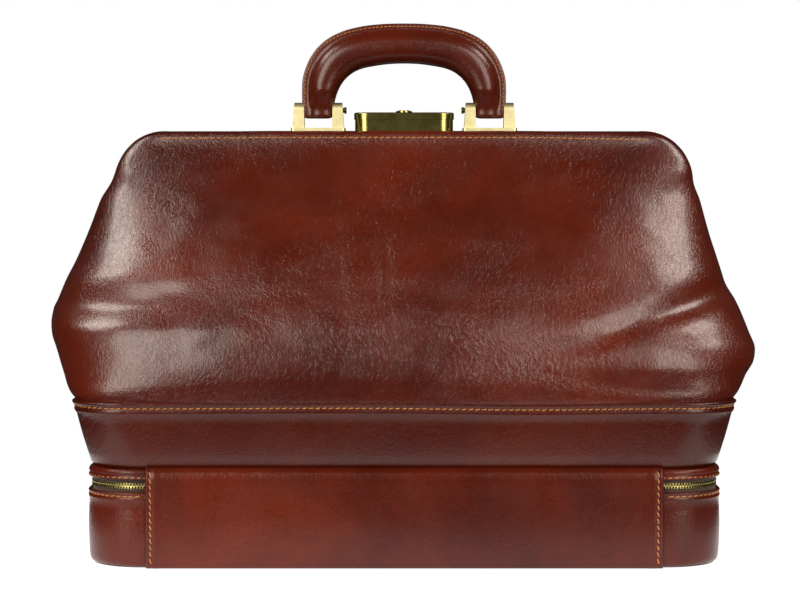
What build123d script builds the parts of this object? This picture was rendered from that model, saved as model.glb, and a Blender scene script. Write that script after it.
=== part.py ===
"""Doctor bag with a hinged frame mouth and a zipped compartment under the floor.

The frame origin is on the ground, under the middle of the bag. X runs along the bag, Y from the side
with the leather hinge panel (minus Y, called front) to the side with the zip pulls (plus Y, called
rear), and Z is up. All sizes are in millimetres.

Three stacked units carry the bag: the tray on the ground, the upper bag that tips forward on the
hinge panel once the zip is open, and the two steel jaws that open the mouth about two end rivets.
"""

import os
from math import cos, pi, radians, sin, sqrt

from build123d import *

# ---------------------------------------------------------------- driving dimensions
LEATHER = 1.8            # body hide
STOUT_LEATHER = 2.0      # belt, tray walls and jaw covers
BOARD = 1.5              # wall stiffener
LINING = 0.8
GAP = 0.3                # air between neighbouring soft skins

# tray, the zipped compartment
TRAY_HALF_X = 196.0
TRAY_HALF_Y = 112.0
TRAY_CORNER = 34.0
SOLE = 2.0               # leather under the tray
FLOOR_BOARD = 3.0
WALL_TOP = 46.5
HINGE_PANEL_HALF = 158.0
HINGE_Y = -(TRAY_HALF_Y + 0.9)
HINGE_Z = 57.0

# zip, all of it between the tray wall and the strip above
TAPE_INSET = 2.2         # outer face of the tape, in from the outer face of the wall
TAPE = 0.9
TEETH = 2.6              # thickness of the chain
ROW_LOW = (48.4, 50.0)
ROW_HIGH = (51.2, 52.8)
STRIP_BOTTOM = 55.5

# upper bag
DECK_Z = 58.0
DECK_BOARD = 3.0
BELT_BOTTOM = 60.0
BELT_TOP = 101.0
BELT_LOW = (194.0, 109.5, 33.0)      # half length, half depth, corner radius
BELT_HIGH = (205.0, 116.0, 34.0)
SEAM_X = 176.0           # where panel meets gusset
FOLD_Z = 200.0           # above this the hide folds as the jaws open
PANEL_TOP = 252.0
GUSSET_TOP = 234.0
# height, half depth, half length, squareness of the end curve, half length of the flats
BODY = (
    (101.0, 115.5, 205.5, 4.0, 155.0),
    (118.0, 119.0, 214.5, 3.4, 155.0),
    (140.0, 116.0, 223.0, 3.0, 155.0),
    (170.0, 99.5, 214.5, 2.8, 156.0),
    (200.0, 76.5, 201.0, 2.5, 160.0),
    (226.0, 50.5, 192.8, 2.2, 170.0),
    (252.0, 26.8, 184.5, 2.0, 179.0),
)

# jaws
PIVOT_Z = 222.0
RIM_Z = 269.1
JAW_STEEL = 1.5
JAW_IN = 0.8             # inner face of each jaw, from the middle plane
JAW_OUT = 22.0           # outer face of the steel
JAW_FACE = 12.0          # height of the vertical flange
COVER_FACE = 17.0
JAW_CORNER = 29.0
JAW_LEG_X = 182.5
JAW_KNEE_Z = 240.0
EAR_R = 8.0
REAR_LEG_INSET = 2.0     # the rear jaw's legs lap inside the front jaw's
PIN_R = 2.5
PIN_FIT = 0.06

# handle and its brackets
HANDLE_Y = -12.0
BRACKET_X = 55.3
BRACKET_PIN_Z = 282.5
PLATE = (35.0, 18.0, 2.0)
EAR_IN = (8.9, 9.3)      # half gap between the ears, at foot and top
EAR_OUT = (16.6, 15.4)
EAR_FOOT_HALF_Y = 5.5
EAR_TOP_R = 5.0
HANDLE_PIN_R = 1.6
GRIP_TOP_Z = 325.6
GRIP_TOP_R = 120.0
GRIP_CORNER_R = 27.0
GRIP_R = 11.6
CORE_R = 6.2
END_R = 6.0
END_HALF_X = 8.6

# lock
LOCK_HALF_X = 31.6
LOCK_FRONT_Y = -22.4
LOCK_REAR_Y = -1.2
LOCK_CORNER = 8.5
LOCK_WALL = 1.3
LOCK_SPLIT_Z = 276.6
LOCK_TOP_Z = 281.0
COVER_LIP = 0.6
TONGUE_HALF_X = 6.0
TONGUE_Z = (271.3, 273.3)
KEY_R = 3.5
KEY_Y = -12.0

# zip sliders
SLIDER_X = 6.5
SLIDER_LENGTH = 9.0
PULL_LENGTH = 26.0
PULL_EYE_R = 2.1

OUT = "parts"


# ---------------------------------------------------------------- shared helpers
def block(x0, x1, y0, y1, z0, z1):
    """A box between two corners."""
    return Pos((x0 + x1) / 2, (y0 + y1) / 2, (z0 + z1) / 2) * Box(x1 - x0, y1 - y0, z1 - z0)


def rod(axis, centre, radius, low, high):
    """A cylinder along X, Y or Z from low to high, with its axis through centre in the other two."""
    length = high - low
    middle = (low + high) / 2
    if axis == "X":
        return Pos(middle, centre[0], centre[1]) * Rot(0, 90, 0) * Cylinder(radius, length)
    if axis == "Y":
        return Pos(centre[0], middle, centre[1]) * Rot(90, 0, 0) * Cylinder(radius, length)
    return Pos(centre[0], centre[1], middle) * Cylinder(radius, length)


def rounded(half_x, half_y, corner, z0, z1):
    """An upright prism with rounded vertical edges."""
    outline = RectangleRounded(2 * half_x, 2 * half_y, corner)
    return extrude(Pos(0, 0, z0) * outline, amount=z1 - z0)


def ring(half_x, half_y, corner, inset, thickness, z0, z1):
    """An upright rounded ring whose outer face is set in from the outline."""
    a = rounded(half_x - inset, half_y - inset, corner - inset, z0, z1)
    deep = inset + thickness
    b = rounded(half_x - deep, half_y - deep, corner - deep, z0 - 1, z1 + 1)
    return a - b


def halves(solid):
    """The part of a ring in front of the middle plane, and the part behind it."""
    far = 400
    front = solid & block(-far, far, -far, 0, -far, far)
    rear = solid & block(-far, far, 0, far, -far, far)
    return front, rear


def both_ends(solid):
    """A solid and its mirror image across the middle of the bag, as two solids."""
    return Compound(children=[solid, mirror(solid, about=Plane.YZ)])


# ---------------------------------------------------------------- tray
def tray():
    sole = rounded(TRAY_HALF_X - 0.6, TRAY_HALF_Y - 0.6, TRAY_CORNER, 0, SOLE)
    wall = ring(TRAY_HALF_X, TRAY_HALF_Y, TRAY_CORNER, 0, STOUT_LEATHER, SOLE, WALL_TOP)
    front, rear = halves(wall)
    inset = STOUT_LEATHER + 0.1
    floor_top = SOLE + FLOOR_BOARD
    floor = rounded(TRAY_HALF_X - inset, TRAY_HALF_Y - inset, TRAY_CORNER - inset, SOLE, floor_top)
    tape_depth = TAPE_INSET + TAPE + 0.1
    board = ring(TRAY_HALF_X, TRAY_HALF_Y, TRAY_CORNER, tape_depth, BOARD, floor_top, WALL_TOP - 1)
    deep = tape_depth + BOARD + 0.1
    cup = rounded(TRAY_HALF_X - deep, TRAY_HALF_Y - deep, TRAY_CORNER - deep, floor_top, WALL_TOP)
    hollow = deep + LINING
    cup -= rounded(
        TRAY_HALF_X - hollow,
        TRAY_HALF_Y - hollow,
        TRAY_CORNER - hollow,
        floor_top + LINING,
        WALL_TOP + 1,
    )
    panel_front = -(TRAY_HALF_Y + LEATHER)
    panel = block(-HINGE_PANEL_HALF, HINGE_PANEL_HALF, panel_front, -TRAY_HALF_Y, 0, HINGE_Z - 0.2)
    return {
        "tray_sole": sole,
        "tray_wall_front": front,
        "tray_wall_rear": rear,
        "tray_floor_board": floor,
        "tray_wall_board": board,
        "tray_lining": cup,
        "hinge_panel": panel,
    }


# ---------------------------------------------------------------- zip
def zip_run(inset, thickness, z0, z1):
    """A band along the zip: both ends, the rear, and the front as far as the hinge panel."""
    band = ring(TRAY_HALF_X, TRAY_HALF_Y, TRAY_CORNER, inset, thickness, z0, z1)
    reach = HINGE_PANEL_HALF + 0.4
    return band - block(-reach, reach, -TRAY_HALF_Y - 5, 0, z0 - 1, z1 + 1)


def zip_chain():
    chain_inset = TAPE_INSET + TAPE / 2 - TEETH / 2
    return {
        "zip_tape_lower": zip_run(TAPE_INSET, TAPE, ROW_LOW[0] - 6, ROW_LOW[0]),
        "zip_teeth_lower": zip_run(chain_inset, TEETH, *ROW_LOW),
        "zip_teeth_upper": zip_run(chain_inset, TEETH, *ROW_HIGH),
        "zip_tape_upper": zip_run(TAPE_INSET, TAPE, ROW_HIGH[1], DECK_Z),
        "zip_strip": zip_run(0, STOUT_LEATHER, STRIP_BOTTOM, BELT_BOTTOM),
    }


def zip_slider(side):
    """One slider and its pull. The web between the plates runs in the gap between the two rows."""
    x = side * SLIDER_X
    chain_out = TRAY_HALF_Y - (TAPE_INSET + TAPE / 2 - TEETH / 2)
    chain_in = chain_out - TEETH
    half = SLIDER_LENGTH / 2
    low = WALL_TOP + 0.4
    high = STRIP_BOTTOM - 0.4
    outer = block(x - half, x + half, chain_out + 0.3, chain_out + 1.7, low, high)
    outer = fillet(outer.edges().filter_by(Axis.Y), 1.6)
    inner = block(x - half, x + half, chain_in - 1.6, chain_in - 0.3, low, high)
    inner = fillet(inner.edges().filter_by(Axis.Y), 1.6)
    web = block(x - 2, x + 2, chain_in - 0.5, chain_out + 0.5, ROW_LOW[1] + 0.15, ROW_HIGH[0] - 0.15)
    lug_y = chain_out + 4.1
    middle = (ROW_LOW[1] + ROW_HIGH[0]) / 2
    lug = rod("Z", (x, lug_y), 1.1, middle - 2.6, middle + 2.6)
    for foot in (middle - 2.6, middle + 1.8):
        lug += block(x - 1.1, x + 1.1, chain_out + 1.6, lug_y, foot, foot + 0.8)
    slider = outer + inner + web + lug
    reach = x + side * PULL_LENGTH
    eye = rod("Z", (x, lug_y), PULL_EYE_R, middle - 1.5, middle + 1.5)
    tab = block(min(x, reach), max(x, reach), lug_y - 0.7, lug_y + 0.7, middle - 2.6, middle + 2.6)
    tab -= block(x - 4.2, x + 4.2, lug_y - 3, lug_y + 3, middle - 4, middle + 4)
    near, far = sorted((x, x + side * 6))
    tab += block(near, far, lug_y - 0.7, lug_y + 0.7, middle - 1.5, middle + 1.5)
    pull = eye + tab - rod("Z", (x, lug_y), 1.3, middle - 4, middle + 4)
    return slider, pull


# ---------------------------------------------------------------- upper bag
def tapered(low, high, z0, z1, inset=0.0):
    """A prism that widens from one rounded rectangle to another."""
    sections = []
    for (half_x, half_y, corner), z in ((low, z0), (high, z1)):
        size_x = 2 * (half_x - inset)
        size_y = 2 * (half_y - inset)
        sections.append(Pos(0, 0, z) * RectangleRounded(size_x, size_y, corner - inset))
    return loft(sections, ruled=True)


def belt():
    outer = tapered(BELT_LOW, BELT_HIGH, BELT_BOTTOM, BELT_TOP)
    wall = outer - tapered(BELT_LOW, BELT_HIGH, BELT_BOTTOM, BELT_TOP, STOUT_LEATHER)
    front, rear = halves(wall)
    deck_top = DECK_Z + DECK_BOARD
    inset = STOUT_LEATHER + 0.2
    board = tapered(BELT_LOW, BELT_HIGH, BELT_BOTTOM, BELT_TOP, inset)
    board -= tapered(BELT_LOW, BELT_HIGH, BELT_BOTTOM, BELT_TOP, inset + BOARD)
    board -= block(-300, 300, -300, 300, 0, deck_top + 0.1)
    half_x = BELT_LOW[0] - inset - 0.2
    half_y = BELT_LOW[1] - inset - 0.2
    corner = BELT_LOW[2] - inset
    deck = rounded(half_x, half_y, corner, DECK_Z, deck_top)
    under = rounded(half_x - 1.5, half_y - 1.5, corner, DECK_Z - 1.2, DECK_Z)
    return {
        "belt_front": front,
        "belt_rear": rear,
        "belt_board": board,
        "deck_board": deck,
        "deck_leather": under,
    }


def body_section(z, half_y, half_x, power, flat, inset):
    """The outline of the hide at one height: two flats and two curved ends."""
    depth = half_y - inset
    reach = half_x - inset - flat
    steps = 8
    end = []
    for i in range(steps + 1):
        turn = pi * i / steps
        across = -cos(turn)
        bulge = sin(turn) if 0 < i < steps else 0.0
        y = depth * (abs(across) ** (2 / power)) * (1 if across > 0 else -1)
        end.append((flat + reach * bulge ** (2 / power), y))
    right = Spline(*[Vector(x, y, z) for x, y in end])
    left = Spline(*[Vector(-x, y, z) for x, y in reversed(end)])
    rear = Line((flat, depth, z), (-flat, depth, z))
    front = Line((-flat, -depth, z), (flat, -depth, z))
    return make_face([front, right, rear, left])


def body_solid(inset):
    return loft([body_section(*level, inset) for level in BODY])


def body():
    """The hide in four pieces, each cut again where it starts to fold, and the lining inside."""
    shell = body_solid(0) - body_solid(LEATHER)
    far = 300
    parts = {}
    spans = {"": (BELT_TOP - 1, FOLD_Z, FOLD_Z), "_top": (FOLD_Z, PANEL_TOP, GUSSET_TOP)}
    for suffix, (low, panel_high, gusset_high) in spans.items():
        parts["front_panel" + suffix] = shell & block(-SEAM_X, SEAM_X, -far, 0, low, panel_high)
        parts["rear_panel" + suffix] = shell & block(-SEAM_X, SEAM_X, 0, far, low, panel_high)
        parts["gusset_left" + suffix] = shell & block(-far, -SEAM_X, -far, far, low, gusset_high)
        parts["gusset_right" + suffix] = shell & block(SEAM_X, far, -far, far, low, gusset_high)
    inset = LEATHER + GAP
    lining = body_solid(inset) - body_solid(inset + LINING)
    parts["lining"] = lining & block(-far, far, -far, far, BELT_TOP - 1, FOLD_Z)
    top = lining & block(-far, far, -far, far, FOLD_Z, GUSSET_TOP)
    parts["lining_top"] = top - block(-190, 190, -27, 27, PIVOT_Z - 12, PANEL_TOP)
    belt_inset = STOUT_LEATHER + BOARD + 0.4
    lower = tapered(BELT_LOW, BELT_HIGH, BELT_BOTTOM, BELT_TOP, belt_inset)
    lower -= tapered(BELT_LOW, BELT_HIGH, BELT_BOTTOM, BELT_TOP, belt_inset + LINING)
    deck_top = DECK_Z + DECK_BOARD + 0.1
    lower -= block(-far, far, -far, far, 0, deck_top + LINING)
    pad = rounded(BELT_LOW[0] - 5.0, BELT_LOW[1] - 5.0, BELT_LOW[2] - 5.0, deck_top, deck_top + LINING)
    parts["lining_base"] = lower + pad
    return parts


# ---------------------------------------------------------------- jaws
def arch(outset, leg_shift, foot_z):
    """The filled outline of a jaw in the XZ plane: a flat top, rounded corners and upright legs."""
    top = RIM_Z - STOUT_LEATHER - 0.1 + outset
    leg_x = JAW_LEG_X + outset - leg_shift
    face = make_face(Polyline((-leg_x, foot_z), (-leg_x, top), (leg_x, top), (leg_x, foot_z), close=True))
    corners = face.vertices().group_by(Axis.Y)[-1]
    return fillet(corners, JAW_CORNER + outset - leg_shift)


def jaw_slab(outline, y0, y1):
    """An outline of the XZ plane made solid between two Y planes."""
    solid = extrude(Plane.XZ * outline, amount=y1 - y0)
    return Pos(0, y1, 0) * solid


def jaw_band(outset, thickness, leg_shift, foot_z, y0, y1):
    """A strip that follows the jaw outline, set out from the steel, between two Y planes."""
    low = PIVOT_Z - 5
    outer = arch(outset, leg_shift, low)
    inner = arch(outset - thickness, leg_shift, low - 1)
    band = jaw_slab(outer, y0, y1) - jaw_slab(inner, y0 - 1, y1 + 1)
    return band & block(-300, 300, -60, 60, foot_z, RIM_Z + 5)


def jaw(side):
    """One jaw and its leather cover. side is -1 for the front jaw and 1 for the rear jaw."""
    shift = 0.0 if side < 0 else REAR_LEG_INSET
    inner, outer = sorted((side * JAW_IN, side * JAW_OUT))
    neck_z = PIVOT_Z + 10.5
    band = jaw_band(0, JAW_STEEL, shift, neck_z, inner, outer)
    edge = sorted((side * JAW_OUT, side * (JAW_OUT - JAW_STEEL)))
    face = jaw_band(0, JAW_FACE, shift, JAW_KNEE_Z + 5, *edge)
    steel = band + face
    x1 = JAW_LEG_X - shift
    x0 = x1 - JAW_STEEL
    ear = make_face(
        Polyline(
            (side * JAW_IN, neck_z + 0.5),
            (side * JAW_OUT, neck_z + 0.5),
            (side * EAR_R, PIVOT_Z),
            (side * JAW_IN, PIVOT_Z),
            close=True,
        )
    )
    neck = extrude(Plane.YZ * ear, amount=x1 - x0)
    neck = Pos(x0, 0, 0) * neck
    disc = rod("X", (0, PIVOT_Z), EAR_R, x0, x1)
    hole = rod("X", (0, PIVOT_Z), PIN_R + PIN_FIT, x0 - 1, x1 + 1)
    end = neck + disc - hole
    steel = steel + end + mirror(end, about=Plane.YZ)
    out = STOUT_LEATHER + 0.1
    near, far = sorted((side * JAW_IN, side * (JAW_OUT + out)))
    cover = jaw_band(out, STOUT_LEATHER, shift, neck_z, near, far)
    front = sorted((side * (JAW_OUT + 0.1), side * (JAW_OUT + out)))
    cover += jaw_band(out, COVER_FACE, shift, JAW_KNEE_Z - 2, *front)
    return steel, cover


def jaw_hinge():
    """The end rivets, their washers and the tabs that tie them to the bag."""
    tab_in = JAW_LEG_X + STOUT_LEATHER + 0.6
    tab_out = tab_in + 1.9
    tab = block(tab_in, tab_out, -8, 8, PIVOT_Z - 14, PIVOT_Z + 8)
    tab = fillet(tab.edges().filter_by(Axis.X), 5)
    tab -= rod("X", (0, PIVOT_Z), PIN_R, tab_in - 1, tab_out + 1)
    head_in = JAW_LEG_X - REAR_LEG_INSET - JAW_STEEL - 0.2
    pin = rod("X", (0, PIVOT_Z), PIN_R, head_in, tab_out)
    pin += rod("X", (0, PIVOT_Z), 4.6, head_in - 1.3, head_in)
    pin += rod("X", (0, PIVOT_Z), 4.6, tab_out, tab_out + 1.3)
    washer_in = JAW_LEG_X + 0.15
    washer = rod("X", (0, PIVOT_Z), 5.0, washer_in, tab_in)
    washer -= rod("X", (0, PIVOT_Z), PIN_R, washer_in - 1, tab_in + 1)
    return {
        "hinge_tabs": both_ends(tab),
        "hinge_rivets": both_ends(pin),
        "hinge_washers": both_ends(washer),
    }


# ---------------------------------------------------------------- handle
def bracket(side):
    """A plate with two ears, cast in one piece."""
    x = side * BRACKET_X
    top = RIM_Z + PLATE[2]
    half_x, half_y = PLATE[0] / 2, PLATE[1] / 2
    plate = block(x - half_x, x + half_x, HANDLE_Y - half_y, HANDLE_Y + half_y, RIM_Z, top)
    plate = fillet(plate.edges().filter_by(Axis.Z), 2.0)
    profile = make_face(
        Polyline(
            (-EAR_FOOT_HALF_Y, top - 0.5),
            (EAR_FOOT_HALF_Y, top - 0.5),
            (EAR_TOP_R, BRACKET_PIN_Z),
            (-EAR_TOP_R, BRACKET_PIN_Z),
            close=True,
        )
    )
    profile += Pos(0, BRACKET_PIN_Z) * Circle(EAR_TOP_R)
    reach = EAR_OUT[0] + 1
    upright = extrude(Plane.YZ * profile, amount=2 * reach)
    upright = Pos(x - reach, HANDLE_Y, 0) * upright
    crown = BRACKET_PIN_Z + EAR_TOP_R
    foot = top - 0.5
    for end in (-1, 1):
        wedge = make_face(
            Polyline(
                (x + end * EAR_IN[0], foot),
                (x + end * EAR_OUT[0], foot),
                (x + end * EAR_OUT[1], crown),
                (x + end * EAR_IN[1], crown),
                close=True,
            )
        )
        slab = extrude(Plane.XZ * wedge, amount=30, both=True)
        plate += upright & (Pos(0, HANDLE_Y, 0) * slab)
    plate -= rod("X", (HANDLE_Y, BRACKET_PIN_Z), HANDLE_PIN_R, x - 30, x + 30)
    for dx in rivet_places():
        plate -= rod("Z", (x + dx, HANDLE_Y), 1.5, RIM_Z - 1, top + 1)
    return plate


def rivet_places():
    return (-5.0, 5.0)


def bracket_rivets():
    """Four flush rivets that hold the two brackets to the steel."""
    steel_low = RIM_Z - STOUT_LEATHER - 0.1 - JAW_STEEL
    solids = []
    for side in (-1, 1):
        for dx in rivet_places():
            at = (side * BRACKET_X + dx, HANDLE_Y)
            shank = rod("Z", at, 1.5, steel_low, RIM_Z + PLATE[2])
            solids.append(shank + rod("Z", at, 3.0, steel_low - 1.2, steel_low))
    return Compound(children=solids)


def handle_pin(side):
    """A pin through both ears, with its head on the side of the lock."""
    x = side * BRACKET_X
    start = x - side * (EAR_OUT[0] + 0.1)
    end = x + side * (EAR_OUT[1] - 0.4)
    low, high = sorted((start, end))
    pin = rod("X", (HANDLE_Y, BRACKET_PIN_Z), HANDLE_PIN_R, low, high)
    head_low, head_high = sorted((start, start - side * 1.5))
    return pin + rod("X", (HANDLE_Y, BRACKET_PIN_Z), 2.1, head_low, head_high)


def grip_path():
    """The centre line of the grip in the XZ plane: two uprights, two corners and a shallow top arc."""
    r, big = GRIP_CORNER_R, GRIP_TOP_R
    centre_x = BRACKET_X - r
    centre_z = GRIP_TOP_Z - big + sqrt((big - r) ** 2 - centre_x ** 2)
    top_centre_z = GRIP_TOP_Z - big
    scale = big / (big - r)
    meet = (centre_x * scale, top_centre_z + (centre_z - top_centre_z) * scale)
    lean = sqrt(0.5)
    knee = (centre_x + r * cos(radians(35)), centre_z + r * sin(radians(35)))
    start_z = BRACKET_PIN_Z + 10
    y = HANDLE_Y
    return [
        Line((BRACKET_X, y, start_z), (BRACKET_X, y, centre_z)),
        ThreePointArc((BRACKET_X, y, centre_z), (knee[0], y, knee[1]), (meet[0], y, meet[1])),
        ThreePointArc((meet[0], y, meet[1]), (0, y, GRIP_TOP_Z), (-meet[0], y, meet[1])),
        ThreePointArc((-meet[0], y, meet[1]), (-knee[0], y, knee[1]), (-BRACKET_X, y, centre_z)),
        Line((-BRACKET_X, y, centre_z), (-BRACKET_X, y, start_z)),
    ]


def grip_sweep(radius):
    path = Wire(grip_path())
    start_z = BRACKET_PIN_Z + 10
    return sweep(Pos(BRACKET_X, HANDLE_Y, start_z) * Circle(radius), path=path)


def grip_welt():
    """The flat sewn edge along the outside of the grip."""
    path = Wire(grip_path())
    start_z = BRACKET_PIN_Z + 10
    strip = Pos(BRACKET_X + GRIP_R, HANDLE_Y, start_z) * Rectangle(3.2, 3.2)
    return sweep(strip, path=path)


def grip_end(side, grow, low_z):
    """The slim end of the grip between the ears, rounded about the pin."""
    x = side * BRACKET_X
    half = END_HALF_X + grow
    round_end = rod("X", (HANDLE_Y, BRACKET_PIN_Z), END_R + grow, x - half, x + half)
    shank = block(x - half, x + half, HANDLE_Y - END_R - grow, HANDLE_Y + END_R + grow, BRACKET_PIN_Z, low_z)
    return round_end + shank


def handle():
    start_z = BRACKET_PIN_Z + 10
    shoulder = BRACKET_PIN_Z + 6.6
    core = grip_sweep(CORE_R)
    cover = grip_sweep(GRIP_R) + grip_welt()
    tangs = []
    for side in (-1, 1):
        x = side * BRACKET_X
        low = Pos(x, HANDLE_Y, shoulder) * RectangleRounded(2 * END_HALF_X, 2 * END_R, 4)
        high = Pos(x, HANDLE_Y, start_z) * Circle(GRIP_R)
        cover += loft([low, high]) + grip_end(side, 0, shoulder)
        tang = rod("X", (HANDLE_Y, BRACKET_PIN_Z), 3.8, x - 6, x + 6)
        tang += block(x - 6, x + 6, HANDLE_Y - 2, HANDLE_Y + 2, BRACKET_PIN_Z, start_z + 12)
        tang -= rod("X", (HANDLE_Y, BRACKET_PIN_Z), HANDLE_PIN_R + PIN_FIT, x - 9, x + 9)
        tangs.append(tang)
        cover -= tang
        cover -= rod("X", (HANDLE_Y, BRACKET_PIN_Z), 3.8, x - 6, x + 6)
        cover -= rod("X", (HANDLE_Y, BRACKET_PIN_Z), HANDLE_PIN_R + 0.4, x - 9, x + 9)
        core -= tang
    cover -= grip_sweep(CORE_R)
    return {"handle_cover": cover, "handle_core": core, "handle_tangs": Compound(children=tangs)}


# ---------------------------------------------------------------- lock
def lock_prism(grow, z0, z1):
    """An upright prism of the lock's rounded outline."""
    centre_y = (LOCK_FRONT_Y + LOCK_REAR_Y) / 2
    half_y = (LOCK_REAR_Y - LOCK_FRONT_Y) / 2
    return Pos(0, centre_y, 0) * rounded(LOCK_HALF_X + grow, half_y + grow, LOCK_CORNER + grow, z0, z1)


def lock_rivet_places():
    return [(x, y) for x in (-24.0, 25.5) for y in (-17.0, -12.0)]


def lock():
    floor_top = RIM_Z + 1.2
    case = lock_prism(0, RIM_Z, LOCK_SPLIT_Z) - lock_prism(-LOCK_WALL, floor_top, LOCK_SPLIT_Z + 1)
    rear = LOCK_REAR_Y
    case -= block(-TONGUE_HALF_X - 1, TONGUE_HALF_X + 1, rear - 2, rear + 1, floor_top + 0.5, TONGUE_Z[1] + 2)
    case -= block(14.6, 22.6, rear - 2, rear + 1, TONGUE_Z[0] + 0.2, TONGUE_Z[1] + 1)
    lid = lock_prism(COVER_LIP, LOCK_SPLIT_Z, LOCK_TOP_Z)
    rim = lid.faces().sort_by(Axis.Z)[-1].edges()
    lid = fillet(rim, 1.0)
    lid -= lock_prism(-LOCK_WALL, LOCK_SPLIT_Z - 1, LOCK_TOP_Z - 1.4)
    lid -= rod("Z", (0, KEY_Y), KEY_R + 0.15, LOCK_SPLIT_Z, LOCK_TOP_Z + 1)
    collar = rod("Z", (0, KEY_Y), 5.2, LOCK_TOP_Z, LOCK_TOP_Z + 1.1)
    collar -= rod("Z", (0, KEY_Y), KEY_R + 0.15, LOCK_TOP_Z - 1, LOCK_TOP_Z + 2)
    barrel = rod("Z", (0, KEY_Y), KEY_R, TONGUE_Z[1] + 2.2, LOCK_TOP_Z + 1.6)
    barrel += block(-1.2, 1.2, KEY_Y, KEY_Y + 5.6, TONGUE_Z[1] + 2.2, TONGUE_Z[1] + 3.2)
    barrel -= block(-0.5, 0.5, KEY_Y - 2.4, KEY_Y + 2.4, LOCK_TOP_Z - 3, LOCK_TOP_Z + 2)
    steel_low = RIM_Z - STOUT_LEATHER - 0.1 - JAW_STEEL
    rivets = []
    for at in lock_rivet_places():
        case -= rod("Z", at, 1.2, RIM_Z - 1, floor_top + 1)
        rivets.append(
            rod("Z", at, 1.2, steel_low, floor_top)
            + rod("Z", at, 2.2, steel_low - 1.0, steel_low)
            + rod("Z", at, 2.2, floor_top, floor_top + 0.8)
        )
    return {
        "lock_case": case,
        "lock_cover": lid,
        "lock_collar": collar,
        "lock_rivets": Compound(children=rivets),
        "key_cylinder": barrel,
    }


def latch():
    """The bolt and thumb slide, drawn back, with the click spring beside them."""
    z0, z1 = TONGUE_Z
    bolt = block(9.5, 23.0, -9.0, -3.4, z0, z1) + block(TONGUE_HALF_X + 0.6, 9.5, -8.8, -6.4, z0, z1)
    neck = block(18.5, 21.5, -3.4, -0.9, z0 + 0.5, z1 - 0.1)
    knob = block(16.0, 24.0, -0.9, 2.4, z0 + 0.1, z1 + 2.0)
    knob = fillet(knob.edges().filter_by(Axis.Y), 1.2)
    for x in (18.0, 20.0, 22.0):
        knob -= block(x - 0.25, x + 0.25, 2.0, 3.0, z0, z1 + 3)
    leaf = block(9.5, 22.5, -10.1, -9.7, z0, z1) + block(15.0, 17.0, -9.7, -9.25, z0, z1)
    stem = block(9.5, 11.0, -11.6, -9.7, RIM_Z + 1.2, z1) + block(21.0, 22.5, -11.6, -9.7, RIM_Z + 1.2, z1)
    return {"latch_bolt": bolt, "thumb_slide": neck + knob, "click_spring": leaf + stem}


def strike():
    """The catch on the rear jaw, with a tongue that enters the lock."""
    z0, z1 = TONGUE_Z
    plate = block(-11, 11, 2.6, 20, RIM_Z, RIM_Z + 1.8)
    plate = fillet(plate.edges().filter_by(Axis.Z), 2)
    plate += block(-TONGUE_HALF_X, TONGUE_HALF_X, 5, 8.5, RIM_Z + 1, z1)
    tongue = block(-TONGUE_HALF_X, TONGUE_HALF_X, -13, 8.5, z0, z1)
    tongue -= block(3.1, TONGUE_HALF_X + 1, -9.2, -6.0, z0 - 1, z1 + 1)
    plate += tongue
    steel_low = RIM_Z - STOUT_LEATHER - 0.1 - JAW_STEEL
    rivets = []
    for x in (-7.5, 7.5):
        at = (x, 14.5)
        plate -= rod("Z", at, 1.5, RIM_Z - 1, RIM_Z + 3)
        rivets.append(
            rod("Z", at, 1.5, steel_low, RIM_Z + 1.8)
            + rod("Z", at, 2.6, steel_low - 1.2, steel_low)
            + rod("Z", at, 2.6, RIM_Z + 1.8, RIM_Z + 2.6)
        )
    return {"strike": plate, "strike_rivets": Compound(children=rivets)}


# ---------------------------------------------------------------- whole bag
def drill_jaw(parts, prefix, places, radius):
    """Holes in a jaw's steel and cover for the rivets that pass through them."""
    for name in (prefix + "_steel", prefix + "_cover"):
        for at in places:
            parts[name] -= rod("Z", at, radius, RIM_Z - 8, RIM_Z + 1)


def build():
    parts = {}
    parts.update(tray())
    parts.update(zip_chain())
    for side, name in ((-1, "left"), (1, "right")):
        parts["zip_slider_" + name], parts["zip_pull_" + name] = zip_slider(side)
        parts["bracket_" + name] = bracket(side)
        parts["handle_pin_" + name] = handle_pin(side)
    parts.update(belt())
    parts.update(body())
    parts["front_jaw_steel"], parts["front_jaw_cover"] = jaw(-1)
    parts["rear_jaw_steel"], parts["rear_jaw_cover"] = jaw(1)
    parts.update(jaw_hinge())
    parts["bracket_rivets"] = bracket_rivets()
    parts.update(handle())
    parts.update(lock())
    parts.update(latch())
    parts.update(strike())
    bracket_holes = [(s * BRACKET_X + dx, HANDLE_Y) for s in (-1, 1) for dx in rivet_places()]
    drill_jaw(parts, "front_jaw", bracket_holes, 1.5)
    drill_jaw(parts, "front_jaw", lock_rivet_places(), 1.2)
    drill_jaw(parts, "rear_jaw", [(-7.5, 14.5), (7.5, 14.5)], 1.5)
    return parts


def main():
    os.makedirs(OUT, exist_ok=True)
    for name, shape in build().items():
        export_step(shape, os.path.join(OUT, name + ".step"))


main()
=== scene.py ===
"""A leather doctor bag with a hinged steel frame mouth and a zipped compartment under its floor.

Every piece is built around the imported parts, in metres, in their own frame: X runs along the bag,
minus Y is the side with the leather hinge panel, and Z is up.
"""
import math
import random

import bpy
import numpy as np
from bpy.props import FloatProperty, FloatVectorProperty, IntProperty, PointerProperty
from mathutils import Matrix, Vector, noise


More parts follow.
